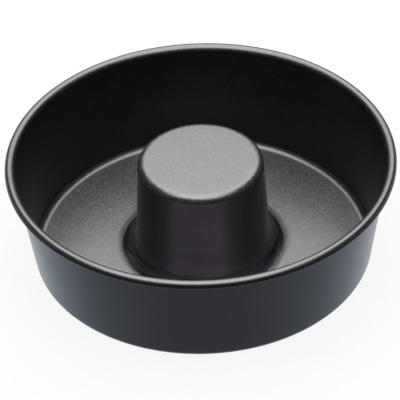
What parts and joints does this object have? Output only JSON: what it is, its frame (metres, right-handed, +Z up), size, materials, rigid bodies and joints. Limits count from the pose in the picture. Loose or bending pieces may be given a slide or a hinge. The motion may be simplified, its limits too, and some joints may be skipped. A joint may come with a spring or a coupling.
{
  "type": "ring cake tin",
  "caption": "Round cake tin with sloping wall, rolled rim and a hollow closed cone in the middle that bakes a ring-shaped cake.",
  "frame": {"origin": "centre of the base, on the plane the tin stands on", "axes": "+Z up the tin's axis, from the base to the open rim; +X and +Y are alike because the tin is round"},
  "size_m": [0.25, 0.25, 0.073],
  "materials": {
    "nonstick_coat": "satin charcoal non-stick coating with a fine speckle on pressed steel sheet"
  },
  "bodies": {
    "root": {"ring_cake_tin": "nonstick_coat"}
  },
  "joints": []
}
